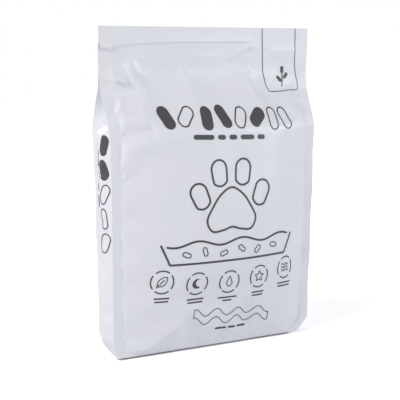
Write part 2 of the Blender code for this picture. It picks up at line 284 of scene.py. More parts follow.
# The sharp creases below it, each along a path of (x, height) points.
sharpFolds = {
    "front": [
        fold(0.0046, 0.012, 0.005, (-0.1228, 0.3779), (-0.12, 0.3704), (-0.1191, 0.363),
             (-0.1173, 0.3555), (-0.111, 0.3495), (-0.105, 0.3444), (-0.1006, 0.3385),
             taper=0.22),
        fold(0.0014, 0.004, 0.013, (-0.156, 0.386), (-0.15, 0.376), (-0.144, 0.364),
             (-0.143, 0.356), taper=0.25, crisp=0.5),
        fold(0.0044, 0.011, 0.0028, (-0.16, 0.356), (-0.1551, 0.355), (-0.1482, 0.3546),
             (-0.1402, 0.353), (-0.1322, 0.3511), (-0.122, 0.3482), taper=0.2),
        fold(0.0046, 0.0065, 0.005, (-0.1326, 0.335), (-0.1336, 0.3311), (-0.1392, 0.3239),
             (-0.1437, 0.3143), (-0.1455, 0.308)),
        fold(0.0016, 0.004, 0.01, (-0.106, 0.329), (-0.1108, 0.3186), (-0.1127, 0.3066),
             (-0.1141, 0.295), taper=0.25, crisp=0.7),
        fold(-0.0048, 0.0095, 0.012, (-0.164, 0.2816), (-0.1573, 0.2823), (-0.1431, 0.2843),
             (-0.1296, 0.2866), (-0.1141, 0.2895), (-0.1043, 0.293), (-0.096, 0.2965), taper=0.16,
             crisp=0.95),
        fold(0.0016, 0.018, 0.012, (-0.148, 0.2975), (-0.1301, 0.2995), (-0.1101, 0.3035),
             (-0.095, 0.3085), crisp=0.2),
        fold(0.0022, 0.008, 0.02, (-0.142, 0.269), (-0.13, 0.2755), (-0.118, 0.281),
             (-0.105, 0.2885), taper=0.35, crisp=0.4),
        fold(-0.0026, 0.0035, 0.0025, (-0.1449, 0.301), (-0.1456, 0.294), (-0.1471, 0.288),
             (-0.15, 0.283)),
        fold(0.0022, 0.006, 0.0045, (0.03, 0.375), (0.0439, 0.3853), (0.0634, 0.3932),
             (0.085, 0.3985)),
        fold(0.0016, 0.008, 0.008, (0.085, 0.389), (0.1158, 0.389), (0.155, 0.391), crisp=0.3),
        fold(0.001, 0.006, 0.004, (0.059, 0.346), (0.0652, 0.3299), (0.068, 0.312)),
        fold(0.0014, 0.004, 0.008, (0.104, 0.3225), (0.115, 0.318), (0.133, 0.31)),
        fold(-0.0015, 0.0024, 0.005, (-0.159, 0.2268), (-0.152, 0.2256), (-0.1455, 0.2254),
             (-0.132, 0.2292), taper=0.25, crisp=0.8),
        fold(0.0036, 0.026, 0.009, (-0.133, -0.006), (-0.118, 0.003), (-0.104, 0.0135),
             (-0.08, 0.03), (-0.05, 0.046), taper=0.22),
        fold(0.0014, 0.008, 0.012, (0.15, 0.048), (0.133, 0.034), (0.118, 0.012), crisp=0.4),
        fold(0.001, 0.004, 0.008, (0.15, 0.245), (0.132, 0.238), (0.115, 0.236)),
        fold(0.0012, 0.008, 0.006, (-0.145, 0.315), (-0.12, 0.305), (-0.098, 0.301)),
    ],
    "back": [
        fold(0.0018, 0.014, 0.004, (0.16, 0.282), (0.13, 0.2845), (0.1, 0.29), (0.065, 0.3),
             taper=0.16, crisp=0.75),
        fold(0.0014, 0.005, 0.012, (-0.16, 0.3), (-0.13, 0.289), (-0.095, 0.284), taper=0.2),
        fold(0.0018, 0.004, 0.008, (0.125, 0.368), (0.118, 0.352), (0.105, 0.343), (0.095, 0.328),
             taper=0.25),
        fold(0.0016, 0.01, 0.006, (-0.1, 0.375), (-0.065, 0.369), (-0.02, 0.37), (0.02, 0.376)),
        fold(0.001, 0.006, 0.004, (-0.115, 0.355), (-0.108, 0.335), (-0.112, 0.31)),
        fold(0.0012, 0.006, 0.014, (0.13, -0.004), (0.105, 0.015), (0.07, 0.033), (0.038, 0.047),
             taper=0.22, crisp=0.7),
        fold(0.0012, 0.005, 0.007, (-0.155, 0.19), (-0.135, 0.196), (-0.115, 0.195)),
    ],
}

# Creases of the side panels, as (depth, height): the first coordinate runs from the front
# corner seal to the back one.
sideFolds = [
    fold(0.0014, 0.005, 0.006, (-0.027, 0.283), (-0.01, 0.288), (0.004, 0.3), (0.008, 0.318),
         taper=0.2),
    fold(0.0016, 0.005, 0.006, (0.027, 0.284), (0.014, 0.29), (0.004, 0.304), taper=0.2),
    fold(0.001, 0.005, 0.007, (-0.03, 0.222), (-0.01, 0.23), (0.01, 0.231)),
    fold(0.0009, 0.006, 0.006, (0.03, 0.148), (0.012, 0.156), (-0.006, 0.156)),
    fold(0.0013, 0.008, 0.012, (-0.03, 0.06), (-0.012, 0.048), (0.008, 0.042), (0.028, 0.044),
         taper=0.2),
    fold(0.0016, 0.006, 0.01, (-0.024, 0.005), (-0.012, 0.02), (0.002, 0.03)),
    fold(0.0016, 0.01, 0.006, (0.026, 0.004), (0.014, 0.018), (0.002, 0.029)),
]


def rowHeights(step):
    # rows between the heights where the section changes, each with how much wider apart they
    # may stand up to it: wide on the smooth belly, close where the header is folded
    stops = [
        (0.0, 1.0), (bag["lipHeight"], 1.0), (bag["cutHeight"], 1.0), (bag["rounding"], 1.0),
        (0.075, 1.0), (0.230, 1.5), (shoulder, 1.0), (apex, 1.0), (mouth, 1.0), (neck, 1.0),
        (header - 0.012, 1.0), (header, 0.4), (sealed, 1.0), (header + 0.004, 0.4),
        (bag["height"], 1.6),
    ]
    rows = [0.0]
    for (low, _), (high, wide) in zip(stops, stops[1:]):
        steps = max(1, round((high - low) / (step * wide)))
        rows += list(np.linspace(low, high, steps + 1)[1:])
    return np.array(rows)


def halfWidth(z, inset):
    # from the middle to the panel's side edge
    flatHalf = bag["headerWidth"] / 2 - bag["finWidth"]
    belly = (bag["baseWidth"] + bag["bodyWidth"]) / 4
    body = flow([
        (0.0, bag["baseWidth"] / 2), (bag["belly"], belly), (shoulder, bag["bodyWidth"] / 2),
        (mouth, bag["waistWidth"] / 2), (header, flatHalf)], z)
    top = bag["headerWidth"] / 2 - bag["headerNotch"]
    ends = between([(header, flatHalf - inset), (sealed, top)], z)
    return np.where(z > header, ends, body - inset)


def cornerDepth(z):
    # from the middle to the panel's side edge, seen from the side
    half, flat = bag["sideDepth"] / 2, bag["headerThickness"] / 2
    return flow([
        (0.0, half), (shoulder, half), (apex, bag["sideDepth"] / 4),
        (mouth, bag["mouthGap"] / 2), (neck, flat), (header, flat)], z)


def panelBulge(z):
    # how far the panel's middle stands out past its edges
    return flow([
        (0.0, 0.0), (bag["rounding"], bag["baseBulge"]), (bag["belly"], bag["panelBulge"]),
        (shoulder, bag["shoulderBulge"]), (apex, bag["apexBulge"]), (neck, 0.0), (header, 0.0)], z)


def sideOffset(share, z):
    # outwards from the line between the corner folds; above the shoulder the gusset tucks in
    bulge, tucked = bag["sideBulge"], bag["gussetTuck"]
    out = flow([
        (0.0, bulge * 0.35), (bag["rounding"], bulge * 0.8), (shoulder, bulge), (apex, 0.0)], z)
    tuck = between([
        (shoulder, 0.0), (apex, tucked * 0.9), (mouth, tucked), (header, tucked),
        (sealed, -bag["headerNotch"])], z)
    flat = between([(shoulder, 0.9), (apex, 0.0)], z)
    inner = np.minimum(1.0, (1.0 - np.abs(share)) / (1.0 - flat))
    return out * (1.0 - share * share) - tuck * inner


def sway(x, z):
    # the flat top waves a little and its left corner leans forward, every layer together
    wave = bag["headerWave"] * np.sin(2.0 * np.pi * x / (bag["headerWidth"] * 0.8))
    corner = np.clip((-x - bag["cornerStart"]) / bag["cornerReach"], 0.0, 1.0) ** 1.3
    lean = -bag["cornerLean"] * corner * smooth((z - neck - 0.020) / 0.014)
    return wave * smooth((z - mouth) / bag["mouthDrop"]) + lean


def relief(x, z, arch, panel, seed):
    # what the folds and the litter's lumps add to a panel: most crumpled near the top, the
    # foot and the side edges
    total = sum(broadFold(x, z, *line) for line in broadFolds[panel])
    total = total + sum(sharpFold(x, z, line) for line in sharpFolds[panel])
    upper = smooth((z - 0.25) / 0.06) * smooth((header - 0.004 - z) / 0.02)
    lower = 1.0 - smooth((z - 0.03) / 0.06)
    edge = np.exp(-(1.0 - np.abs(x) / (bag["bodyWidth"] / 2)).clip(0.0, 1.0) / 0.12)
    lumps = cloudNoise(x, z, texture["lump"], seed)
    total = total + texture["lumpRise"] * lumps * (0.4 + 0.6 * arch)
    crumples = cloudNoise(x, z * 0.8, texture["crumple"], seed + 1)
    total = total + texture["crumpleRise"] * crumples * (0.35 + upper + 0.6 * lower)
    patches = smooth(cloudNoise(x, z, texture["crackPatch"], seed + 2) * 2.2)
    cracks = crackNoise(x, z, texture["crack"], seed) * patches
    return total - texture["crackDepth"] * cracks * (upper * 0.9 + lower * 0.8 + edge * 0.5 + 0.06)


def seamInset(side, hand):
    # how far in from the corner edge the front seams start
    return bag["seamInsets"]["left" if hand < 0 else "right"] if side < 0 else 0.0


def panelGrid(z, columns, panel, side, seed):
    # x and y of one panel, a row for each height, columns from left to right
    rows = z[:, None]
    shift = -bag["baseShift"] * smooth(1.0 - rows / shoulder)
    cut = np.maximum(0.0, 1.0 - rows / bag["cutHeight"]) ** 1.2
    left = shift - halfWidth(rows, seamInset(side, -1)) + bag["cuts"][panel + "Left"] * cut
    right = shift + halfWidth(rows, seamInset(side, 1)) - bag["cuts"][panel + "Right"] * cut
    t = np.linspace(-1.0, 1.0, columns + 1)[None, :]
    across = (1.0 - bag["edgeShare"]) * t + bag["edgeShare"] * np.sin(t * np.pi / 2)
    x = (left + right) / 2 + (right - left) / 2 * across
    arch = 1.0 - np.abs(across) ** bag["fullness"]
    heights = np.broadcast_to(rows, x.shape)
    bulge = panelBulge(rows) * arch
    foot = smooth(heights / bag["footHeight"])
    top = 1.0 - smooth((heights - header + 0.006) / 0.010)
    added = relief(x, heights, arch, panel, seed)
    added = added * foot * (0.15 + 0.85 * top) * (0.25 + 0.75 * smooth(arch * 6.0))
    for line in headerFolds[panel]:
        added = added + sharpFold(x, heights, line) * smooth((heights - bag["foldHeight"]) / 0.008)
    seam = np.minimum(x - left, right - x) / bag["seamDip"]
    dip = bag["seamDepth"] * np.exp(-((seam - 1.0) ** 2) * 2.0)
    added = added - dip * smooth((apex - heights) / 0.03) * foot
    # a hollow fades out as it nears the gusset behind it
    inward = np.minimum(added, 0.0)
    room = bulge + bag["gussetRoom"] * cornerDepth(rows)
    added = np.maximum(added, 0.0) + inward * room / (room - inward)
    lip = -bag["undercut"] * np.maximum(0.0, 1.0 - rows / bag["lipHeight"])
    ridge = smooth(1.2 - 1.2 * np.abs(rows - zipLine) / (bag["zipHeight"] / 2))
    ridge = bag["zipRelief"] * ridge * np.minimum(1.0, 20.0 * arch)
    return x, side * (cornerDepth(rows) + bulge + added + lip + ridge)


def finPoints(root, side, hand, z):
    # the welded fin at one corner, as its two tip corners and its inner root
    wide = bag["seamWidth"] if side < 0 else bag["finWidth"]
    upper = bag["finWidth"] + seamInset(side, hand)
    width = between([(shoulder, wide), (header, upper), (sealed, bag["headerNotch"])], z)
    if side < 0 and hand < 0:
        width = width - bag["seamTrim"] * np.clip(1.0 - z / bag["seamTrimHeight"], 0.0, 1.0)
    layer = (bag["headerThickness"] - bag["gussetGap"]) / 2
    thick = between([(apex, bag["finThickness"]), (neck, layer)], z)
    if side > 0:
        turns = [(0.0, bag["finTurnBase"]), (shoulder, bag["finTurnShoulder"]), (mouth, 0.0)]
        turn = np.radians(flow(turns, z))
    else:
        turn = np.radians(bag["seamTurn"]) * smooth((shoulder - z) / 0.05)
    # each fin flutters along its height on a noise of its own
    flutter = np.array([noise.noise(Vector((h * 22.0, side * 3.0, hand * 5.0))) for h in z])
    turn = turn + side * np.radians(bag["finFlutter"]) * flutter * smooth((mouth - z) / 0.05)
    tip = root + np.stack([hand * width * np.cos(turn), side * width * np.sin(turn)], 1)
    inner = np.stack([hand * thick * np.sin(turn), -side * thick * np.cos(turn)], 1)
    return [tip, tip + inner, root + inner]


def sideGrid(z, columns, start, end, hand, seed):
    # a side panel from its front fin to its back one
    share = np.linspace(-1.0, 1.0, columns + 1)[None, :]
    rows = z[:, None]
    blend = (share + 1.0) / 2.0
    x = start[:, 0:1] * (1.0 - blend) + end[:, 0:1] * blend
    y = start[:, 1:2] * (1.0 - blend) + end[:, 1:2] * blend
    heights = np.broadcast_to(rows, y.shape)
    inside = smooth((1.0 - np.abs(share)) * 3.0) * smooth(heights / bag["footHeight"])
    inside = inside * smooth((apex + 0.01 - heights) / 0.03)
    lumps = texture["lumpRise"] * cloudNoise(y, heights, texture["sideLump"], seed)
    added = sum(sharpFold(y, heights, line) for line in sideFolds) + lumps
    return x + hand * (sideOffset(share, rows) + added * inside), y


def bagRings(detail):
    # The bag as rings of points, one for each height, seen from above and turning left:
    # front, right side, back and left side, with a fin's three points at each corner.
    z = rowHeights(detail["rowStep"])
    grids, fins = {}, {}
    for panel, side, seed in (("front", -1, 3), ("back", 1, 11)):
        x, y = panelGrid(z, detail["columns"], panel, side, seed)
        grids[panel] = np.stack([x, y], 2)
        for name, column, hand in (("Left", 0, -1), ("Right", -1, 1)):
            fins[panel + name] = finPoints(grids[panel][:, column], side, hand, z)
    for name, hand, seed in (("Right", 1, 5), ("Left", -1, 6)):
        start, end = fins["front" + name][2], fins["back" + name][2]
        grids[name] = np.stack(sideGrid(z, detail["sides"], start, end, hand, seed), 2)
    ring = np.concatenate([
        grids["front"],
        np.stack(fins["frontRight"], 1),
        grids["Right"][:, 1:-1],
        np.stack(fins["backRight"][::-1], 1),
        grids["back"][:, ::-1],
        np.stack(fins["backLeft"], 1),
        grids["Left"][:, ::-1][:, 1:-1],
        np.stack(fins["frontLeft"][::-1], 1),
    ], 1)
    heights = np.broadcast_to(z[:, None], ring.shape[:2])
    ring[:, :, 1] += sway(ring[:, :, 0], heights)
    return z, np.concatenate([ring, heights[:, :, None]], 2)


def stretches(detail):
    # the places in a ring of each stretch's points, its end points shared with the next, and
    # how many points the ring has
    panel, gusset, fin = detail["columns"], detail["sides"], 3
    sizes = {
        "front": panel, "frontRight": fin, "right": gusset, "backRight": fin,
        "back": panel, "backLeft": fin, "left": gusset, "frontLeft": fin}
    count, start, picks = sum(sizes.values()), 0, {}
    for part, size in sizes.items():
        picks[part] = [i % count for i in range(start, start + size + 1)]
        start += size
    return picks, count


def ringFaces(detail, rows, split=False):
    # split cuts each square from its low start to its high end
    picks, count = stretches(detail)
    step = np.arange(count)
    after = (step + 1) % count
    shapes = [(0, 1, 2), (0, 2, 3)] if split else [(0, 1, 2, 3)]
    faces = []
    for row in range(rows - 1):
        low, high = row * count, (row + 1) * count
        corners = (low + step, low + after, high + after, high + step)
        for shape in shapes:
            faces += np.stack([corners[i] for i in shape], 1).tolist()
    columns, backStart = detail["columns"], picks["back"][0]
    wrap = list(range(count)) + [0]
    for base, up in ((0, False), ((rows - 1) * count, True)):
        caps = []
        for i in range(columns):
            mirror = backStart + columns - i
            caps.append([i, i + 1, mirror - 1, mirror])
        for low, high in ((columns, backStart), (backStart + columns, count)):
            caps.append(wrap[low : low + 4])
            caps.append([wrap[low]] + wrap[low + 3 : high - 2] + [wrap[high]])
            caps.append(wrap[high - 3 : high + 1])
        for cap in caps:
            cap = [base + i for i in cap]
            faces.append(cap if up else cap[::-1])
    return faces


def resampled(values, spots, axis):
    # Catmull-Rom along one axis, at fractional places
    values = np.moveaxis(values, axis, 0)
    last = len(values) - 1
    i = np.clip(spots.astype(int), 0, last - 1)
    t = (spots - i).reshape([-1] + [1] * (values.ndim - 1))
    near = [values[np.clip(i + k, 0, last)] for k in (-1, 0, 1, 2)]
    return np.moveaxis(catmullRom(*near, t), 0, axis)


def softened(values, reach, axis):
    # a running average along one axis, its ends repeated
    values = np.moveaxis(values, axis, 0)
    for _ in range(3):
        padded = np.concatenate([values[:1]] * reach + [values] + [values[-1:]] * reach)
        total = np.cumsum(np.concatenate([padded[:1] * 0.0, padded]), axis=0)
        values = (total[2 * reach + 1 :] - total[: -2 * reach - 1]) / (2 * reach + 1)
    return np.moveaxis(values, 0, axis)


def looseFilm(z, rings, detail):
    # a coarse copy of the bag, with how firmly each point is held and how little film it has
    # to spare
    rows, count = rings.shape[:2]
    mesh = bpy.data.meshes.new("settlingFilm")
    mesh.from_pydata(rings.reshape(-1, 3).tolist(), [], ringFaces(detail, rows))
    mesh.update()
    film = bpy.data.objects.new("settlingFilm", mesh)
    bpy.context.scene.collection.objects.link(film)
    hold = np.full((rows, count), settling["hold"])
    picks = stretches(detail)[0]
    for corner in ("frontRight", "backRight", "backLeft", "frontLeft"):
        hold[:, picks[corner]] = 1.0
    firm = smooth((0.010 - z) / 0.008) + smooth((z - neck + 0.022) / 0.034)
    hold = np.clip(np.maximum(hold, firm[:, None]), 0.0, 1.0)
    # little to spare on the full body, most round the neck, the corners and the foot
    x, y, heights = rings[:, :, 0], rings[:, :, 1], rings[:, :, 2]
    upper = smooth((heights - 0.235) / 0.050) * smooth((0.372 - heights) / 0.020)
    foot = smooth((0.065 - heights) / 0.045)
    edge = smooth((np.abs(x) - 0.095) / 0.050)
    # the front was pulled straight towards its right shoulder
    slack = 1.0 - settling["pulled"] * smooth((x + 0.01) / 0.06) * (y < 0.0)
    share = upper * (0.12 + 0.66 * edge) + 0.20 * edge
    loose = settling["bodyShare"] + share * slack + 0.25 * foot
    loose = np.clip(loose, 0.0, 1.0) * smooth((0.376 - heights) / 0.012)
    for name, weights in (("hold", hold), ("tight", 1.0 - loose)):
        group = film.vertex_groups.new(name=name)
        for i, weight in enumerate(weights.ravel()):
            group.add([i], float(weight), "REPLACE")
    return film


def settled(film, rings):
    # Cloth: the film is let out a little, the fill pushes from inside, and the seals stay
    # where they are. Returns how far each point moves, and takes the film away.
    cloth = film.modifiers.new("cloth", "CLOTH")
    rules = cloth.settings
    rules.quality = settling["quality"]
    rules.mass = settling["mass"]
    rules.tension_stiffness = rules.compression_stiffness = settling["stretch"]
    rules.shear_stiffness = settling["stretch"] * 0.5
    rules.bending_stiffness = settling["bending"]
    rules.vertex_group_mass = "hold"
    rules.vertex_group_shrink = "tight"
    rules.shrink_min, rules.shrink_max = -settling["spare"], 0.0
    rules.use_pressure = True
    rules.uniform_pressure_force = settling["pressure"]
    rules.effector_weights.gravity = 0.0
    cloth.collision_settings.use_collision = False
    scene = bpy.context.scene
    scene.frame_start, scene.frame_end = 1, settling["frames"]
    cloth.point_cache.frame_start, cloth.point_cache.frame_end = 1, settling["frames"]
    for frame in range(1, settling["frames"] + 1):
        scene.frame_set(frame)
    done = film.evaluated_get(bpy.context.evaluated_depsgraph_get()).to_mesh()
    points = np.empty(rings.size)
    done.vertices.foreach_get("co", points)
    moves = points.reshape(rings.shape) - rings
    mesh = film.data
    bpy.data.objects.remove(film)
    bpy.data.meshes.remove(mesh)
    scene.frame_set(1)
    return moves


def settledMoves(coarse, fine, zFine):
    # how far each point of the fine bag moves as its film settles
    z, rings = bagRings(coarse)
    moves = settled(looseFilm(z, rings, coarse), rings)
    picks = stretches(coarse)[0]
    for part in ("front", "right", "back", "left"):
        # the bag keeps its measured bulge, so only what is narrower than a hand stays
        pick = picks[part]
        broad = softened(moves[:, pick], settling["broadRows"], 0)
        broad = softened(broad, settling["broadColumns"], 1)
        inner = np.arange(1, len(pick) - 1)
        share = smooth(np.minimum(inner, inner[::-1]) / 6.0)[None, :, None]
        moves[:, pick[1:-1]] -= broad[:, 1:-1] * share
        print(part, "broad moves up to", round(float(np.abs(broad).max()) * 1000, 1), "mm")
    far = np.linalg.norm(moves, axis=2, keepdims=True)
    most, mean = round(float(far.max()) * 1000, 1), round(float(far.mean()) * 1000, 2)
    print("film settled: it moved up to", most, "mm, and", mean, "mm on average")
    moves = moves / np.maximum(far, 1e-9) * settling["most"] * np.tanh(far / settling["most"])
    moves = resampled(moves, np.interp(zFine, z, np.arange(len(z))), 0)
    finePicks, fineCount = stretches(fine)
    out = np.zeros((len(zFine), fineCount, 3))
    for part, pick in picks.items():
        spots = np.linspace(0.0, len(pick) - 1, len(finePicks[part]))
        out[:, finePicks[part]] = resampled(moves[:, pick], spots, 1)
    return out


def keepApart(z, rings, detail):
    # Where the bag flattens, the settled panels stay clear of each other and the gussets
    # stay between them.
    pick, gap, kept = stretches(detail)[0], settling["apart"], 0
    for row in np.nonzero(z > shoulder)[0]:
        ring = rings[row]
        front, back = ring[pick["front"]], ring[pick["back"]][::-1]
        room = np.interp(front[:, 0], back[:, 0], back[:, 1]) - front[:, 1]
        ring[pick["front"], 1] -= np.maximum(0.0, 2.0 * gap - room) / 2.0
        room = back[:, 1] - np.interp(back[:, 0], front[:, 0], front[:, 1])
        ring[pick["back"][::-1], 1] += np.maximum(0.0, 2.0 * gap - room) / 2.0
        front, back = ring[pick["front"]], ring[pick["back"]][::-1]
        for part in ("right", "left"):
            inner = pick[part][1:-1]
            x, y = ring[inner, 0], ring[inner, 1]
            low = np.interp(x, front[:, 0], front[:, 1]) + gap
            high = np.interp(x, back[:, 0], back[:, 1]) - gap
            ring[inner, 1] = np.clip(y, low, high)
            kept += int(np.sum(np.abs(ring[inner, 1] - y) > 1e-6))
    print("kept apart:", kept, "gusset points")


def addPiece(name, mesh, material):
    piece = bpy.data.objects.new(name, mesh)
    bpy.context.scene.collection.objects.link(piece)
    mesh.materials.append(material)
    return piece


def hexColor(text):
    # sRGB hex to the linear values that shaders take
    parts = [int(text[i : i + 2], 16) / 255 for i in (1, 3, 5)]
    linear = [c / 12.92 if c <= 0.04045 else ((c + 0.055) / 1.055) ** 2.4 for c in parts]
    return (*linear, 1.0)


def feed(tree, node, given):
    # what goes to each input or property, by its name or place: a node or one of its outputs
    # is linked, anything else is set
    for key, value in given.items():
        if isinstance(value, bpy.types.Node):
            value = value.outputs[0]
        if isinstance(value, bpy.types.NodeSocket):
            tree.links.new(value, node.inputs[key])
        elif isinstance(key, int) or key in node.inputs:
            node.inputs[key].default_value = value
        else:
            setattr(node, key, value)
    return node


def addNode(tree, kind, given={}):
    return feed(tree, tree.nodes.new(kind), given)


def calculate(tree, operation, *values):
    return addNode(tree, "ShaderNodeMath", {"operation": operation, **dict(enumerate(values))})


def newMaterial(name):
    material = bpy.data.materials.new(name)
    material.use_nodes = True
    return material, material.node_tree


def mottled(tree, place, colors, scale, detail):
    # noise over the object, and a tint between two colours that follows it
    cloud = addNode(tree, "ShaderNodeTexNoise", {"Vector": place, "Scale": scale, "Detail": detail})
    first, second = map(hexColor, colors)
    tint = addNode(tree, "ShaderNodeMix", {
        "data_type": "RGBA", "Factor": cloud, 6: first, 7: second})
    return cloud, tint.outputs[2]


def laminatedFilm():
    # Printed polyester laminate, matte outside: white with a cool cast, a broad soft sheen
    # on every ridge, and the faint orange peel of the lamination.
    finish = {
        "colors": ("#e6e6ed", "#dfe1e8"),
        "roughness": 0.40,
        "smoother": 0.05,
        "rougher": 0.06,
        "peelSize": 0.0016,
        "cloudSize": 0.05,
    }
    material, tree = newMaterial("matteLaminatedFilm")
    place = addNode(tree, "ShaderNodeTexCoord").outputs["Object"]
    cloud, tint = mottled(tree, place, finish["colors"], 1.0 / finish["cloudSize"], 3.0)
    rough = addNode(tree, "ShaderNodeMapRange", {
        "Value": cloud, "From Min": 0.3, "From Max": 0.7,
        "To Min": finish["roughness"] - finish["smoother"],
        "To Max": finish["roughness"] + finish["rougher"]})
    peel = addNode(tree, "ShaderNodeTexNoise", {
        "Vector": place, "Scale": 1.0 / finish["peelSize"], "Detail": 2.0})
    bump = addNode(tree, "ShaderNodeBump", {"Strength": 0.06, "Distance": 0.0004, "Height": peel})
    feed(tree, tree.nodes["Principled BSDF"], {
        "IOR": 1.5, "Base Color": tint, "Roughness": rough, "Normal": bump})
    return material


def printedInk():
    # Rotogravure ink under the matte coat: flat charcoal, a little uneven where it was laid on
    finish = {"colors": ("#434348", "#4d4d53"), "roughness": 0.5, "speckScale": 420.0}
    material, tree = newMaterial("charcoalPrintInk")
    place = addNode(tree, "ShaderNodeTexCoord").outputs["Object"]
    tint = mottled(tree, place, finish["colors"], finish["speckScale"], 2.0)[1]
    feed(tree, tree.nodes["Principled BSDF"], {
        "Roughness": finish["roughness"], "Base Color": tint})
    return material


# The print, in metres on each panel: x to the right and z up on the front. Pellets are
# x, z, lean in radians and whether they are solid.
frontPrint = {
    "line": 0.0026,
    "ringLine": 0.0017,
    "signLine": 0.0012,
    "hairLine": 0.00095,
    "pelletLine": 0.0017,
    "pellets": [
        (-0.083, 0.3065, 0.30, 1), (-0.056, 0.307, -0.75, 0), (-0.027, 0.304, -0.20, 1),
        (-0.001, 0.306, 0.25, 1), (0.025, 0.304, -0.55, 0), (0.052, 0.3035, -0.90, 1),
        (0.078, 0.301, -0.10, 0), (0.101, 0.301, 0.25, 0)],
    "pelletLength": 0.0300,
    "pelletWidth": 0.0162,
    "dashes": (0.030, 0.012, 0.012, 0.022, 0.012),
    "badges": ("leaf", "moon", "drop", "star", "waves"),
    "badgeSpan": (-0.094, 0.100),
    "badgeHeight": 0.0985,
    "badgeArc": 0.0080,
    "badgeRadius": 0.0148,
    "wavePlace": (0.014, 0.0425),
    "tag": [
        (0.0866, 0.377), (0.088, 0.346), (0.0905, 0.3385), (0.0965, 0.3352), (0.1375, 0.3366),
        (0.1428, 0.3386), (0.1444, 0.344), (0.1426, 0.356), (0.1408, 0.366), (0.1402, 0.377)],
}
sidePrint = {
    "pelletLine": 0.0016,
    "pellets": [
        (-0.005, 0.272, 0.30, 1), (-0.003, 0.241, -0.35, 1), (-0.004, 0.210, 0.40, 0),
        (-0.003, 0.179, -0.20, 0), (-0.004, 0.148, 0.30, 0)],
    "pelletLength": 0.0270,
    "pelletWidth": 0.0145,
    "dashes": (0.020, 0.010, 0.010, 0.016),
    "dashPlace": (0.0115, 0.262),
}
backPrint = {
    "ringLine": 0.0017,
    "signLine": 0.0012,
    "pelletLine": 0.0016,
    "pellets": [
        (-0.056, 0.303, 0.6, 0), (-0.019, 0.3045, -0.5, 1), (0.019, 0.3045, 0.5, 1),
        (0.056, 0.303, -0.6, 0)],
    "pelletLength": 0.0270,
    "pelletWidth": 0.0145,
    "rows": 6,
    "rowGap": 0.0105,
    "rowReach": 0.190,
    "rowTop": 0.262,
    "badges": ("sun", "drop", "leaf", "moon"),
    "badgeSpan": (-0.078, 0.078),
    "badgeHeight": 0.150,
    "badgeArc": 0.0,
    "badgeRadius": 0.0160,
    "frame": (0.0, 0.082, 0.196, 0.062),
    "frameLine": 0.0011,
}
inkLift = {"above": 0.00028, "inside": 0.00015}
inkStep = {"edge": 0.0010, "grid": 0.0013}


def resample(points, step, closed):
    # evenly spaced points along a line
    points = np.array(points, dtype=float)
    if closed:
        points = np.concatenate([points, points[:1]])
    lengths = np.hypot(*np.diff(points, axis=0).T)
    places = np.concatenate([[0.0], np.cumsum(lengths)])
    count = max(2, int(math.ceil(places[-1] / step)) + 1)
    spots = np.linspace(0.0, places[-1], count)
    return np.stack([np.interp(spots, places, points[:, k]) for k in (0, 1)], 1)


def softLoop(points, closed=True, detail=10):
    # a soft curve through the points
    points = np.array(points, dtype=float)
    count = len(points)
    out = []
    for i in range(count if closed else count - 1):
        if closed:
            pick = [(i + k) % count for k in (-1, 0, 1, 2)]
        else:
            pick = [min(max(i + k, 0), count - 1) for k in (-1, 0, 1, 2)]
        out += [catmullRom(*points[pick], k / detail) for k in range(detail)]
    if not closed:
        out.append(points[-1])
    return np.array(out)


def stroke(points, width, closed=False):
    # a line of ink as a flat strip with round ends and a row of points down its middle
    path = resample(points, inkStep["edge"], closed)
    if closed:
        path = path[:-1]
        ahead, behind = np.roll(path, -1, 0), np.roll(path, 1, 0)
    else:
        ahead, behind = np.concatenate([path[1:], path[-1:]]), np.concatenate([path[:1], path[:-1]])
    way = ahead - behind
    way /= np.maximum(np.hypot(way[:, 0], way[:, 1]), 1e-9)[:, None]
    aside = np.stack([-way[:, 1], way[:, 0]], 1) * width / 2
    count = len(path)
    points = np.concatenate([path + aside, path, path - aside])
    faces = []
    for i in range(count if closed else count - 1):
        after = (i + 1) % count
        faces.append([i, count + i, count + after, after])
        faces.append([count + i, 2 * count + i, 2 * count + after, count + after])
    if closed:
        return points, faces
    for end, turn in ((0, 1.0), (count - 1, -1.0)):
        arc = []
        for k in range(1, 6):
            angle = math.pi * k / 6
            out = math.sin(angle) * way[end] * width / 2 * turn
            arc.append(path[end] + (math.cos(angle) * aside[end] * turn - out))
        first = len(points)
        points = np.concatenate([points, np.array(arc)])
        start, stop = (end, 2 * count + end) if turn > 0 else (2 * count + end, end)
        faces.append([start] + list(range(first, first + 5)) + [stop, count + end])
    return points, faces


def filled(outline):
    # a solid patch of ink, cut into small faces so that it can follow the film
    mesh = bmesh.new()
    edge = resample(outline, inkStep["edge"], True)[:-1]
    mesh.faces.new([mesh.verts.new((p[0], 0.0, p[1])) for p in edge])
    low, high = outline.min(0), outline.max(0)
    for axis, normal in ((0, (1, 0, 0)), (1, (0, 0, 1))):
        place = low[axis] + inkStep["grid"] / 2
        while place < high[axis]:
            spot = (place, 0, 0) if axis == 0 else (0, 0, place)
            everything = mesh.verts[:] + mesh.edges[:] + mesh.faces[:]
            bmesh.ops.bisect_plane(mesh, geom=everything, dist=1e-7, plane_co=spot, plane_no=normal)
            place += inkStep["grid"]
    mesh.verts.index_update()
    points = np.array([(v.co.x, v.co.z) for v in mesh.verts])
    faces = [[v.index for v in f.verts] for f in mesh.faces]
    mesh.free()
    return points, faces


def turned(points, angle):
    c, s = math.cos(angle), math.sin(angle)
    return points @ np.array([[c, s], [-s, c]])


def capsule(center, length, width, angle):
    # a litter pellet seen from the side
    reach = (length - width) / 2
    points = []
    for k in range(28):
        a = math.pi * 2 * k / 28
        lift = reach if math.sin(a) >= 0 else -reach
        points.append((width / 2 * math.cos(a), width / 2 * math.sin(a) + lift))
    return turned(np.array(points), angle) + np.array(center)


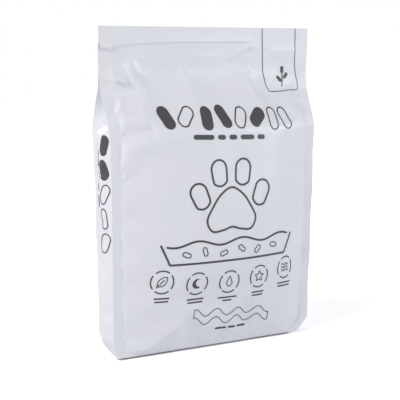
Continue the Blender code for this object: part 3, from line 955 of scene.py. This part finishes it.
def barRow(start, lengths, gap, thick, tilt=0.0):
    # short rounded bars in a row
    parts = []
    x = start[0]
    for length in lengths:
        a = (x + thick / 2, start[1] + (x - start[0]) * tilt)
        b = (x + length - thick / 2, start[1] + (x + length - start[0]) * tilt)
        parts.append(stroke([a, b], thick))
        x += length + gap
    return parts


def badgeTree():
    # Geometry Nodes: four arcs make a ring, and the ring repeats along a row
    tree = bpy.data.node_groups.new("badgeRings", "GeometryNodeTree")
    sockets = {"Count": "Int", "Spacing": "Float", "Radius": "Float", "Line Width": "Float",
               "Arc Share": "Float", "Ink": "Material"}
    for name, kind in sockets.items():
        tree.interface.new_socket(name=name, in_out="INPUT", socket_type="NodeSocket" + kind)
    tree.interface.new_socket(name="Geometry", in_out="OUTPUT", socket_type="NodeSocketGeometry")
    given = addNode(tree, "NodeGroupInput").outputs
    sweep = calculate(tree, "MULTIPLY", given["Arc Share"], math.pi / 2)
    arc = addNode(tree, "GeometryNodeCurveArc", {
        "Resolution": 14, "Radius": given["Radius"], "Sweep Angle": sweep})
    ends = {}
    for end, share in (("Start", -0.5), ("End", 0.5)):
        reach = calculate(tree, "MULTIPLY", given["Line Width"], share)
        ends[end] = addNode(tree, "ShaderNodeCombineXYZ", {"X": reach})
    profile = addNode(tree, "GeometryNodeCurvePrimitiveLine", ends)
    ribbon = addNode(tree, "GeometryNodeCurveToMesh", {"Curve": arc, "Profile Curve": profile})
    quarters = addNode(tree, "GeometryNodeMeshLine", {"Count": 4, "Offset": (0.0, 0.0, 0.0)})
    index = addNode(tree, "GeometryNodeInputIndex")
    angle = calculate(tree, "MULTIPLY_ADD", index, math.pi / 2, 0.9)
    turn = addNode(tree, "ShaderNodeCombineXYZ", {"Z": angle})
    ring = addNode(tree, "GeometryNodeInstanceOnPoints", {
        "Points": quarters, "Instance": ribbon, "Rotation": turn})
    offset = addNode(tree, "ShaderNodeCombineXYZ", {"X": given["Spacing"]})
    row = addNode(tree, "GeometryNodeMeshLine", {"Count": given["Count"], "Offset": offset})
    badges = addNode(tree, "GeometryNodeInstanceOnPoints", {"Points": row, "Instance": ring})
    real = addNode(tree, "GeometryNodeRealizeInstances", {"Geometry": badges})
    inked = addNode(tree, "GeometryNodeSetMaterial", {"Geometry": real, "Material": given["Ink"]})
    addNode(tree, "NodeGroupOutput", {"Geometry": inked})
    return tree


def badgeRings(ink, spacing, radius, line, count):
    # the row of rings as flat points and faces, starting at the origin
    holder = bpy.data.objects.new("badgeHolder", bpy.data.meshes.new("badgeHolder"))
    bpy.context.scene.collection.objects.link(holder)
    rings = holder.modifiers.new("rings", "NODES")
    rings.node_group = badgeTree()
    values = {"Count": count, "Spacing": spacing, "Radius": radius, "Line Width": line,
              "Arc Share": 0.82, "Ink": ink}
    for item in rings.node_group.interface.items_tree:
        if item.in_out == "INPUT":
            rings[item.identifier] = values[item.name]
    depsgraph = bpy.context.evaluated_depsgraph_get()
    mesh = bpy.data.meshes.new_from_object(holder.evaluated_get(depsgraph))
    points = np.array([(v.co.x, v.co.y) for v in mesh.vertices])
    faces = [list(p.vertices) for p in mesh.polygons]
    bpy.data.objects.remove(holder)
    bpy.data.meshes.remove(mesh)
    return points, faces


def signParts(kind, at, line):
    # small plain signs: a drop, a leaf, a sun, a moon, waves and a star
    def around(offsets, aside=0.0, lift=0.0):
        return [(at[0] + aside + x, at[1] + lift + z) for x, z in offsets]

    def arc(radius, angles):
        return [(radius * math.cos(a), radius * math.sin(a)) for a in angles]

    if kind == "drop":
        edge = [(0.0, 0.0075), (0.0028, 0.002), (0.0042, -0.0022), (0.0, -0.0062),
                (-0.0042, -0.0022), (-0.0028, 0.002)]
        return [stroke(softLoop(around(edge)), line, True)]
    if kind == "leaf":
        edge = [(-0.006, -0.0055), (-0.0045, 0.002), (0.001, 0.0058), (0.0062, 0.0062),
                (0.0058, 0.001), (0.0022, -0.0042)]
        stem = [(-0.0075, -0.0072), (0.0025, 0.0025)]
        return [stroke(softLoop(around(edge)), line, True), stroke(around(stem), line)]
    if kind == "sun":
        disc = around(arc(0.0036, np.linspace(0.0, 2.0 * np.pi, 24, endpoint=False)))
        angles = np.linspace(0.2, 0.2 + 2 * math.pi, 8, endpoint=False)
        rays = [around(arc(0.0055, [a]) + arc(0.0082, [a])) for a in angles]
        return [stroke(disc, line, True)] + [stroke(ray, line) for ray in rays]
    if kind == "moon":
        outer = around(arc(0.0068, np.linspace(0.9, 5.4, 22)))
        inner = around(arc(0.0052, np.linspace(4.75, 1.5, 16)), 0.0030, 0.0010)
        return [filled(np.array(outer + inner))]
    if kind == "waves":
        wave = [(d, 0.0014 * math.sin(d * 900.0)) for d in np.linspace(-0.0072, 0.0072, 24)]
        return [stroke(around(wave, 0.0, lift), line) for lift in (-0.0042, 0.0, 0.0042)]
    star = []
    for k in range(10):
        reach = 0.0078 if k % 2 == 0 else 0.0036
        star.append((reach * math.sin(math.pi * k / 5), reach * math.cos(math.pi * k / 5)))
    return [stroke(around(star), line, True)]


def pelletParts(layout):
    # litter pellets, some solid and some in outline
    parts = []
    for x, z, lean, solid in layout["pellets"]:
        trim = 0.0 if solid else layout["pelletLine"]
        outline = capsule((x, z), layout["pelletLength"] - trim, layout["pelletWidth"] - trim, lean)
        parts.append(filled(outline) if solid else stroke(outline, trim, True))
    return parts


def badgeParts(layout, ink):
    # a row of ringed signs, set along a shallow arc, with two short bars below each
    start, end = layout["badgeSpan"]
    last = len(layout["badges"]) - 1
    gap, middle, half = (end - start) / last, (start + end) / 2, (end - start) / 2
    points, faces = badgeRings(ink, gap, layout["badgeRadius"], layout["ringLine"], last + 1)

    def height(x):
        return layout["badgeHeight"] - layout["badgeArc"] * (1.0 - ((x - middle) / half) ** 2)

    nearest = np.clip(np.round(points[:, 0] / gap), 0, last) * gap + start
    parts = [(points + np.stack([np.full(len(points), start), height(nearest)], 1), faces)]
    for k, kind in enumerate(layout["badges"]):
        x = start + gap * k
        z = height(x)
        parts += signParts(kind, (x, z), layout["signLine"])
        upper, lower = 0.0095 + 0.002 * (k % 3), 0.0060 + 0.0022 * ((k + 1) % 3)
        for below, reach in ((0.0215, upper), (0.0258, lower)):
            parts.append(stroke([(x - reach, z - below), (x + reach, z - below)], 0.0019))
    return parts


def pawAndTray(layout):
    # the big line drawing: a paw print over a tray of litter
    line = layout["line"]
    half = [(0.017, 0.2085), (0.029, 0.193), (0.0375, 0.176), (0.030, 0.162), (0.014, 0.1625)]
    pad = [(0.0, 0.2175)] + half + [(0.0, 0.166)] + [(-x, z) for x, z in half[::-1]]
    parts = [stroke(softLoop(pad), line, True)]
    toes = [(-0.047, 0.208, 0.42), (-0.0185, 0.2365, 0.12)]
    toes += [(-x, z, -lean) for x, z, lean in toes[::-1]]
    for x, z, lean in toes:
        parts.append(stroke(softLoop(capsule((x, z), 0.034, 0.023, lean)[::2]), line, True))
    litter = [(d, 0.1475 + 0.0035 * math.sin(d * 95.0)) for d in np.linspace(-0.092, 0.096, 60)]
    parts.append(stroke(litter, line))
    tray = [(-0.1, 0.1475), (-0.088, 0.122), (0.092, 0.122), (0.104, 0.1475)]
    tray = resample(tray, 0.004, False)
    tray = np.concatenate([tray[:1], tray[3:-3], tray[-1:]])
    parts.append(stroke(softLoop(tray, False, 3), line))
    pellets = ((-0.066, 0.134, 1.2), (-0.040, 0.1365, 0.3), (-0.012, 0.1325, 1.9),
               (0.016, 0.1365, 0.9), (0.042, 0.1330, 2.4), (0.070, 0.1360, 1.4))
    for x, z, lean in pellets:
        parts.append(stroke(capsule((x, z), 0.0115, 0.0056, lean), 0.0014, True))
    return [(points + np.array((0.003, -0.002)), faces) for points, faces in parts]


def tagParts(layout):
    # a plain hanging tag in thin lines from the top edge, with a sprig on it
    edge = softLoop(layout["tag"], False, 6)
    outline = np.concatenate([[(0.0862, 0.4193)], edge, [(0.1405, 0.4193)]])
    stem = softLoop([(0.1160, 0.3425), (0.1183, 0.3500), (0.1190, 0.3600)], False)
    parts = [stroke(outline, layout["hairLine"]), stroke(stem, 0.0013)]
    for x, z, lean in ((0.1130, 0.3520, 0.75), (0.1243, 0.3560, -0.75), (0.1192, 0.3640, 0.0)):
        parts.append(filled(capsule((x, z), 0.0100, 0.0052, lean)))
    return parts


def frontParts(layout, ink):
    parts = pelletParts(layout)
    parts += barRow((-0.052, 0.2815), layout["dashes"], 0.0055, 0.0062, -0.030)
    parts += pawAndTray(layout)
    parts += badgeParts(layout, ink)
    wave = []
    for sign in (1, -1):
        for d in np.linspace(-0.060, 0.060, 90)[::sign]:
            wave.append((d, sign * 0.0056 + 0.0048 * math.sin(d * 190.0)))
    points, faces = stroke(np.array(wave), layout["hairLine"] * 1.1, True)
    parts.append((turned(points, -0.06) + np.array(layout["wavePlace"]), faces))
    parts += barRow((-0.010, 0.0265), (0.018, 0.012, 0.014), 0.003, 0.0028, -0.05)
    return parts + tagParts(layout)


def sideParts(layout):
    # the same pellets down the side panel, with dashes beside them
    parts = pelletParts(layout)
    x, z = layout["dashPlace"]
    for length in layout["dashes"]:
        parts.append(stroke([(x, z), (x, z - length + 0.005)], 0.0050))
        z -= length + 0.0055
    return parts


def backParts(layout, ink):
    parts = pelletParts(layout)
    for k in range(layout["rows"]):
        z = layout["rowTop"] - k * layout["rowGap"]
        reach = layout["rowReach"] * (1.0 if k % 3 < 2 else 0.72)
        bars = []
        x, step = 0.0, 0
        while x < reach - 0.012:
            length = 0.010 + 0.0075 * ((k * 5 + step * 3) % 4)
            bars.append(min(length, reach - x))
            x += length + 0.0040
            step += 1
        parts += barRow((-layout["rowReach"] / 2, z), bars, 0.0040, 0.0030)
    parts += badgeParts(layout, ink)
    # a rounded frame with a small table of bars in it
    x, z, width, height = layout["frame"]
    rounded = []
    for k, (handX, handZ) in enumerate(((-1, -1), (1, -1), (1, 1), (-1, 1))):
        centreX = x + handX * width / 2 * (1.0 - 0.012 / width)
        centreZ = z + (z + handZ * height / 2 - z) * (1.0 - 0.012 / height)
        for a in math.pi * (1.0 + k / 2) + np.linspace(0.0, math.pi / 2, 6):
            rounded.append((centreX + 0.006 * math.cos(a), centreZ + 0.006 * math.sin(a)))
    parts.append(stroke(np.array(rounded), layout["frameLine"], True))
    for k in range(4):
        level = z + 0.0195 - k * 0.0120
        left, right = (0.022 + 0.006 * (k % 2), 0.014), (0.012, 0.020 + 0.008 * ((k + 1) % 2))
        for start, bars in ((x - width / 2 + 0.010, left), (x + 0.020, right)):
            parts += barRow((start, level), bars, 0.004, 0.0028)
    return parts


def draper(z, rest, rings, part, axis, detail):
    # Where points drawn on a panel land on the settled film. axis is the panel's own level
    # direction, 0 for x on the front and back and 1 for y on the sides.
    pick = stretches(detail)[0][part]
    level, film = rest[:, pick, axis], rings[:, pick]
    order = 1 if level[0, -1] > level[0, 0] else -1
    level, film = level[:, ::order], film[:, ::order]
    normals = np.cross(np.gradient(film, axis=1), np.gradient(film, axis=0)) * order
    normals /= np.linalg.norm(normals, axis=2, keepdims=True)
    columns = np.arange(level.shape[1])

    def place(points, lift):
        # on the very triangles that the film is cut into
        lifted = film + normals * lift
        row = np.clip(np.interp(points[:, 1], z, np.arange(len(z))), 0, len(z) - 1.001)
        out = []
        for (a, _), r in zip(points, row):
            low, t = int(r), r - int(r)
            edge = level[low] * (1.0 - t) + level[low + 1] * t
            c = min(np.interp(a, edge, columns), len(columns) - 1.001)
            i, u = int(c), c - int(c)
            near, far = (i, i + 1) if order > 0 else (i + 1, i)
            u = u if order > 0 else 1.0 - u
            start, end = lifted[low, near], lifted[low + 1, far]
            if u >= t:
                middle = lifted[low, far]
                spot = start + (middle - start) * u + (end - middle) * t
            else:
                middle = lifted[low + 1, near]
                spot = start + (middle - start) * t + (end - middle) * u
            out.append(tuple(spot))
        return out

    return place


def inkPiece(name, parts, place, flip, material):
    # Thin closed bodies of ink: a top face over the film, the same face just inside it, and
    # a wall round the edge.
    points, faces = [], []
    for flat, polygons in parts:
        first, count = len(points), len(flat)
        points += place(flat, inkLift["above"]) + place(flat, -inkLift["inside"])
        edges = {}
        for polygon in polygons:
            corners = flat[polygon]
            after = np.roll(corners, -1, 0)
            area = np.sum(corners[:, 0] * after[:, 1] - after[:, 0] * corners[:, 1])
            loop = polygon if (area > 0) != flip else polygon[::-1]
            faces.append([first + i for i in loop])
            faces.append([first + count + i for i in loop[::-1]])
            for a, b in zip(loop, loop[1:] + loop[:1]):
                if (b, a) in edges:
                    del edges[(b, a)]
                else:
                    edges[(a, b)] = True
        for a, b in edges:
            faces.append([first + b, first + a, first + count + a, first + count + b])
    mesh = bpy.data.meshes.new(name)
    mesh.from_pydata(points, [], faces)
    mesh.validate()
    mesh.update()
    return addPiece(name, mesh, material)


studio = {
    "world": 0.370,
    "floor": "#f2f2f4",
    "floorReach": 6,
    "floorDrop": 0.0004,
    "nearGlow": 0.40,
    "farGlow": 1.0,
    # how far the floor's painted contact shadow reaches along the bag's depth
    "paintedShadeDepth": 0.010,
    # each lamp's place, aim, size, energy and colour
    "lamps": {
        "leftSoftbox": ((-2.15, -0.66, 1.5), (0.0, 0.0, 0.2), (0.8, 0.8), 35.2, (1.0, 0.99, 0.975)),
        "backFill": ((-0.6, 2.4, 1.3), (0.0, 0.0, 0.22), (1.2, 1.0), 22.0, (0.97, 0.98, 1.0)),
        "frontFill": ((2.3, -1.6, 0.9), (0.0, 0.0, 0.22), (1.2, 1.0), 33.0, (0.95, 0.97, 1.0)),
    },
}


def whiteSweep():
    # matte white floor that the camera also sees glow, so that it runs out to pure white; in a
    # strip along and under the bag's front edge the glow is taken away, so the floor shows its own
    # shade there, darker than the glowing floor around it: a painted contact shadow
    material, tree = newMaterial("whiteSweep")
    tree.nodes.clear()
    white = (1.0, 1.0, 1.0, 1.0)
    diffuse = addNode(tree, "ShaderNodeBsdfDiffuse", {"Color": hexColor(studio["floor"])})
    place = addNode(tree, "ShaderNodeTexCoord").outputs["Object"]
    away = addNode(tree, "ShaderNodeVectorMath", {"operation": "LENGTH", 0: place}).outputs["Value"]
    level = addNode(tree, "ShaderNodeMapRange", {
        "Value": away, "From Min": 0.3, "From Max": 1.2,
        "To Min": studio["nearGlow"], "To Max": studio["farGlow"]})
    apart = addNode(tree, "ShaderNodeSeparateXYZ", {"Vector": place})
    left = -bag["baseWidth"] / 2 - bag["baseShift"]
    right = bag["baseWidth"] / 2 - bag["baseShift"] - bag["cuts"]["frontRight"]
    across = ("X", (right - left) / 2, (right + left) / 2)
    along = ("Y", studio["paintedShadeDepth"], 0.009 - bag["sideDepth"] / 2)
    # painted contact shadow: a mask that is 0 in a strip under the bag's front edge and 1 outside
    # it, cutting the floor's glow there
    reach = []
    for axis, half, middle in (across, along):
        size = calculate(tree, "ABSOLUTE", calculate(tree, "SUBTRACT", apart.outputs[axis], middle))
        reach.append(addNode(tree, "ShaderNodeMapRange", {
            "Value": size, "From Min": half - 0.001, "From Max": half + 0.001}))
    glowOutsidePaintedShade = calculate(tree, "MULTIPLY", calculate(tree, "MAXIMUM", *reach), level)
    glow = addNode(tree, "ShaderNodeEmission", {"Color": white, "Strength": glowOutsidePaintedShade})
    bright = addNode(tree, "ShaderNodeAddShader", {0: diffuse, 1: glow})
    seen = addNode(tree, "ShaderNodeLightPath").outputs["Is Camera Ray"]
    pick = addNode(tree, "ShaderNodeMixShader", {0: seen, 1: diffuse, 2: bright})
    addNode(tree, "ShaderNodeOutputMaterial", {"Surface": pick})
    return material


def addStudio():
    # white floor, white surround, one lamp from the upper left and two weak fills
    scene = bpy.context.scene
    scene.view_settings.view_transform = "Standard"
    scene.world = bpy.data.worlds.new("whiteSurround")
    scene.world.use_nodes = True
    tree = scene.world.node_tree
    seen = addNode(tree, "ShaderNodeLightPath").outputs["Is Camera Ray"]
    strength = addNode(tree, "ShaderNodeMapRange", {
        "Value": seen, "To Min": studio["world"], "To Max": 1.0})
    feed(tree, tree.nodes["Background"], {"Color": (1.0, 1.0, 1.0, 1.0), "Strength": strength})
    reach, drop = studio["floorReach"], -studio["floorDrop"]
    mesh = bpy.data.meshes.new("studioFloor")
    corners = [(x * reach, y * reach, drop) for x, y in ((-1, -1), (1, -1), (1, 1), (-1, 1))]
    mesh.from_pydata(corners, [], [[0, 1, 2, 3]])
    floor = addPiece("studioFloor", mesh, whiteSweep())
    for name, (place, aim, size, energy, color) in studio["lamps"].items():
        data = bpy.data.lights.new(name, "AREA")
        data.shape = "RECTANGLE"
        data.size, data.size_y = size
        data.energy = energy
        data.color = color
        lamp = bpy.data.objects.new(name, data)
        scene.collection.objects.link(lamp)
        lamp.location = place
        lamp.rotation_euler = (Vector(aim) - Vector(place)).to_track_quat("-Z", "Y").to_euler()


# where the picture was taken from: front left, a little above the bag's middle
shot = {
    "turn": 32.0,
    "distance": 1.4946,
    "pixels": 400.0,
    "focalPixels": 1132.0,
    "sensor": 36.0,
    "height": 0.4009,
    "pitch": 7.95,
    "slide": -0.0093,
    "roll": 0.34,
}


def addCamera():
    # the roll turns right and up together about the line of sight
    turn, pitch, roll = (math.radians(shot[k]) for k in ("turn", "pitch", "roll"))
    right = Vector((math.cos(turn), -math.sin(turn), 0.0))
    ahead = Vector((math.sin(turn), math.cos(turn), 0.0))
    place = ahead * -shot["distance"] + right * shot["slide"] + Vector((0.0, 0.0, shot["height"]))
    look = ahead * math.cos(pitch) - Vector((0.0, 0.0, math.sin(pitch)))
    up = right.cross(look)
    c, s = math.cos(roll), math.sin(roll)
    right, up = right * c + up * s, up * c - right * s
    data = bpy.data.cameras.new("pictureCamera")
    data.sensor_width = shot["sensor"]
    data.lens = shot["focalPixels"] / shot["pixels"] * shot["sensor"]
    data.clip_end = 60.0
    eye = bpy.data.objects.new("pictureCamera", data)
    bpy.context.scene.collection.objects.link(eye)
    frame = Matrix((right, up, -look)).transposed().to_4x4()
    frame.translation = place
    eye.matrix_world = frame
    bpy.context.scene.camera = eye


def main():
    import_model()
    print("frame loaded")
    film, ink = laminatedFilm(), printedInk()
    fine = bag["fine"]
    z, rest = bagRings(fine)
    rings = rest.copy()
    rings += settledMoves(bag["coarse"], fine, z)
    keepApart(z, rings, fine)
    mesh = bpy.data.meshes.new("bag_skin")
    mesh.from_pydata(rings.reshape(-1, 3).tolist(), [], ringFaces(fine, len(z), True))
    mesh.update()
    mesh.shade_smooth()
    mesh.set_sharp_from_angle(angle=math.radians(50))
    skin = addPiece("bag_skin", mesh, film)
    print("bag lofted:", len(skin.data.polygons), "faces")
    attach(skin, "root")
    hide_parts("litter_bag")
    prints = {
        "front_print": ("front", 0, frontParts(frontPrint, ink), False),
        "back_print": ("back", 0, backParts(backPrint, ink), True),
        "left_print": ("left", 1, sideParts(sidePrint), True),
        "right_print": ("right", 1, sideParts(sidePrint), False),
    }
    for name, (part, axis, parts, flip) in prints.items():
        piece = inkPiece(name, parts, draper(z, rest, rings, part, axis, fine), flip, ink)
        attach(piece, "root")
        print(name, "laid on:", len(piece.data.polygons), "faces")
    addStudio()
    addCamera()
    print("studio set")


main()
